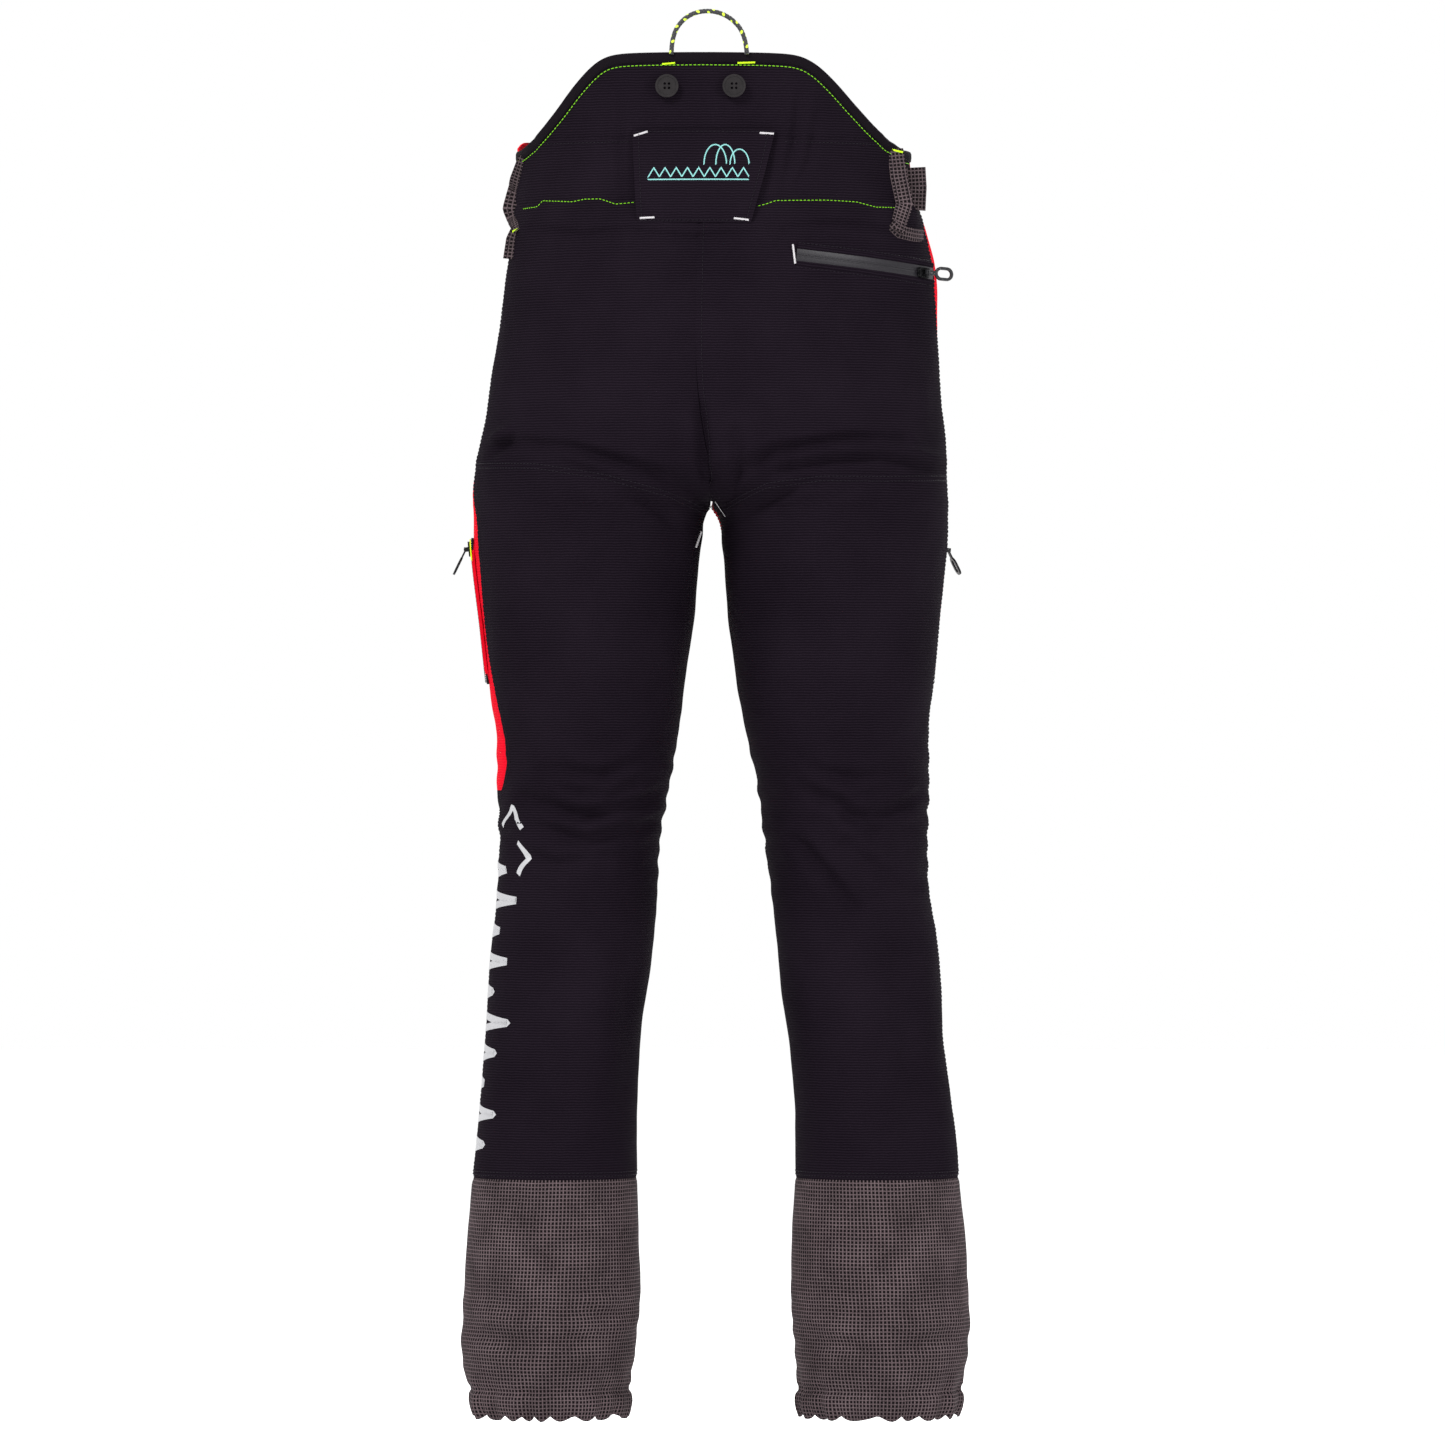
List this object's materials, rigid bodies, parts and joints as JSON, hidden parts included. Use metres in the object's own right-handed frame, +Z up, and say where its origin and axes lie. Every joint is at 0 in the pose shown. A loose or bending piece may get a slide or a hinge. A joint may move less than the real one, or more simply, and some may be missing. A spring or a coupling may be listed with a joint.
{
  "type": "chainsaw protective trousers",
  "caption": "Full-length chainsaw protective trousers with raised back, hanging loop, brace buttons, belt loops, zipped pockets, vents, flexing legs and elastic cuffs.",
  "frame": {"origin": "centre of the waist opening", "axes": "+X to the wearer's right, +Y to the wearer's front, +Z up"},
  "size_m": [0.4499, 0.254, 1.2194],
  "materials": {
    "black_cloth": "woven stretch cloth, matt",
    "red_cloth": "woven stretch cloth, matt",
    "ripstop_cloth": "coated ripstop cloth",
    "lining_mesh": "knitted mesh",
    "cut_protection": "layered loose-knit fibre",
    "pocket_cloth": "plain weave",
    "binding": "folded tape",
    "cord": "braided cord with flecks",
    "elastic": "woven elastic",
    "zip_tape": "coated zip tape",
    "zip_metal": "black enamel",
    "snap_metal": "black enamel",
    "button_plastic": "moulded"
  },
  "bodies": {
    "hips": {"kidney_flap": "black_cloth", "top_binding": "binding", "waistband_back": "black_cloth", "waistband_front_left": "red_cloth", "waistband_front_right": "red_cloth", "seat_panel_left": "black_cloth", "seat_panel_right": "black_cloth", "hip_front_left": "red_cloth", "hip_front_right": "red_cloth", "rear_pocket_bag": "pocket_cloth", "front_pocket_left": "pocket_cloth", "front_pocket_right": "pocket_cloth", "brace_buttons": "button_plastic", "waist_snap": "snap_metal", "side_belt_loop_left": "ripstop_cloth", "side_belt_loop_right": "ripstop_cloth", "front_belt_loops": "ripstop_cloth", "centre_belt_loop": "black_cloth", "hanging_cord": "cord", "rear_pocket_zip_tape": "zip_tape", "fly_zip_tape": "zip_tape", "fly_shield": "black_cloth", "groin_front_left": "red_cloth", "groin_back_left": "black_cloth", "groin_front_right": "red_cloth", "groin_back_right": "black_cloth", "lining_left": "lining_mesh", "lining_right": "lining_mesh"},
    "thigh_left": {"thigh_front_left": "red_cloth", "thigh_back_left": "black_cloth", "thigh_left_zip_tape": "zip_tape", "knee_front_left": "red_cloth", "knee_back_left": "black_cloth", "protective_pad_left": "cut_protection"},
    "shin_left": {"shin_front_left": "red_cloth", "calf_back_left": "black_cloth", "cuff_left": "ripstop_cloth", "hem_elastic_left": "elastic"},
    "thigh_right": {"thigh_front_right": "red_cloth", "thigh_back_right": "black_cloth", "thigh_right_zip_tape": "zip_tape", "knee_front_right": "red_cloth", "knee_back_right": "black_cloth", "protective_pad_right": "cut_protection"},
    "shin_right": {"shin_front_right": "red_cloth", "calf_back_right": "black_cloth", "cuff_right": "ripstop_cloth", "hem_elastic_right": "elastic"},
    "thigh_left_slider": {"thigh_left_slider": "zip_metal"},
    "thigh_left_pull": {"thigh_left_pull": "zip_metal"},
    "thigh_right_slider": {"thigh_right_slider": "zip_metal"},
    "thigh_right_pull": {"thigh_right_pull": "zip_metal"},
    "fly_slider": {"fly_slider": "zip_metal"},
    "fly_pull": {"fly_pull": "zip_metal"},
    "rear_pocket_slider": {"rear_pocket_slider": "zip_metal"},
    "rear_pocket_pull": {"rear_pocket_pull": "zip_metal"}
  },
  "joints": [
    {"name": "hip_left", "type": "hinge", "parent": "hips", "child": "thigh_left", "pos_m": [-0.108, -0.004, -0.29], "axis": [1, 0, 0], "range_deg": [-15, 60], "deforming": ["groin_front_left", "groin_back_left", "lining_left", "protective_pad_left", "front_pocket_left"]},
    {"name": "knee_left", "type": "hinge", "parent": "thigh_left", "child": "shin_left", "pos_m": [-0.115, -0.012, -0.585], "axis": [-1, 0, 0], "range_deg": [0, 90], "deforming": ["knee_front_left", "knee_back_left", "lining_left", "protective_pad_left"]},
    {"name": "hip_right", "type": "hinge", "parent": "hips", "child": "thigh_right", "pos_m": [0.108, -0.004, -0.29], "axis": [1, 0, 0], "range_deg": [-15, 60], "deforming": ["groin_front_right", "groin_back_right", "lining_right", "protective_pad_right", "front_pocket_right", "rear_pocket_bag"]},
    {"name": "knee_right", "type": "hinge", "parent": "thigh_right", "child": "shin_right", "pos_m": [0.119, -0.012, -0.585], "axis": [-1, 0, 0], "range_deg": [0, 90], "deforming": ["knee_front_right", "knee_back_right", "lining_right", "protective_pad_right"]},
    {"name": "thigh_left_zip", "type": "slide", "parent": "thigh_left", "child": "thigh_left_slider", "axis": [0.1038, 0.0894, -0.9906], "range_m": [0, 0.108]},
    {"name": "thigh_left_pull_swing", "type": "hinge", "parent": "thigh_left_slider", "child": "thigh_left_pull", "pos_m": [-0.21364, -0.01069, -0.34525], "axis": [-0.029, 0.9958, 0.0868], "range_deg": [-32, 118]},
    {"name": "thigh_right_zip", "type": "slide", "parent": "thigh_right", "child": "thigh_right_slider", "axis": [-0.0851, 0.0552, -0.9948], "range_m": [0, 0.108]},
    {"name": "thigh_right_pull_swing", "type": "hinge", "parent": "thigh_right_slider", "child": "thigh_right_pull", "pos_m": [0.2072, 0.02954, -0.34495], "axis": [0.3048, -0.9492, -0.0788], "range_deg": [-32, 118]},
    {"name": "fly_zip", "type": "slide", "parent": "hips", "child": "fly_slider", "axis": [0.012, 0.0201, -0.9997], "range_m": [0, 0.112]},
    {"name": "fly_pull_swing", "type": "hinge", "parent": "fly_slider", "child": "fly_pull", "pos_m": [0.00434, 0.11549, -0.04034], "axis": [0.9999, 0, 0.012], "range_deg": [-8, 142]},
    {"name": "rear_pocket_zip", "type": "hinge", "parent": "hips", "child": "rear_pocket_slider", "pos_m": [0.04048, 0.062, -0.11296], "axis": [-0.0378, -0.1074, -0.9935], "range_deg": [0, 39]},
    {"name": "rear_pocket_pull_swing", "type": "hinge", "parent": "rear_pocket_slider", "child": "rear_pocket_pull", "pos_m": [0.1871, -0.05639, -0.10573], "axis": [-0.0378, -0.1074, -0.9935], "range_deg": [-30, 120]}
  ]
}
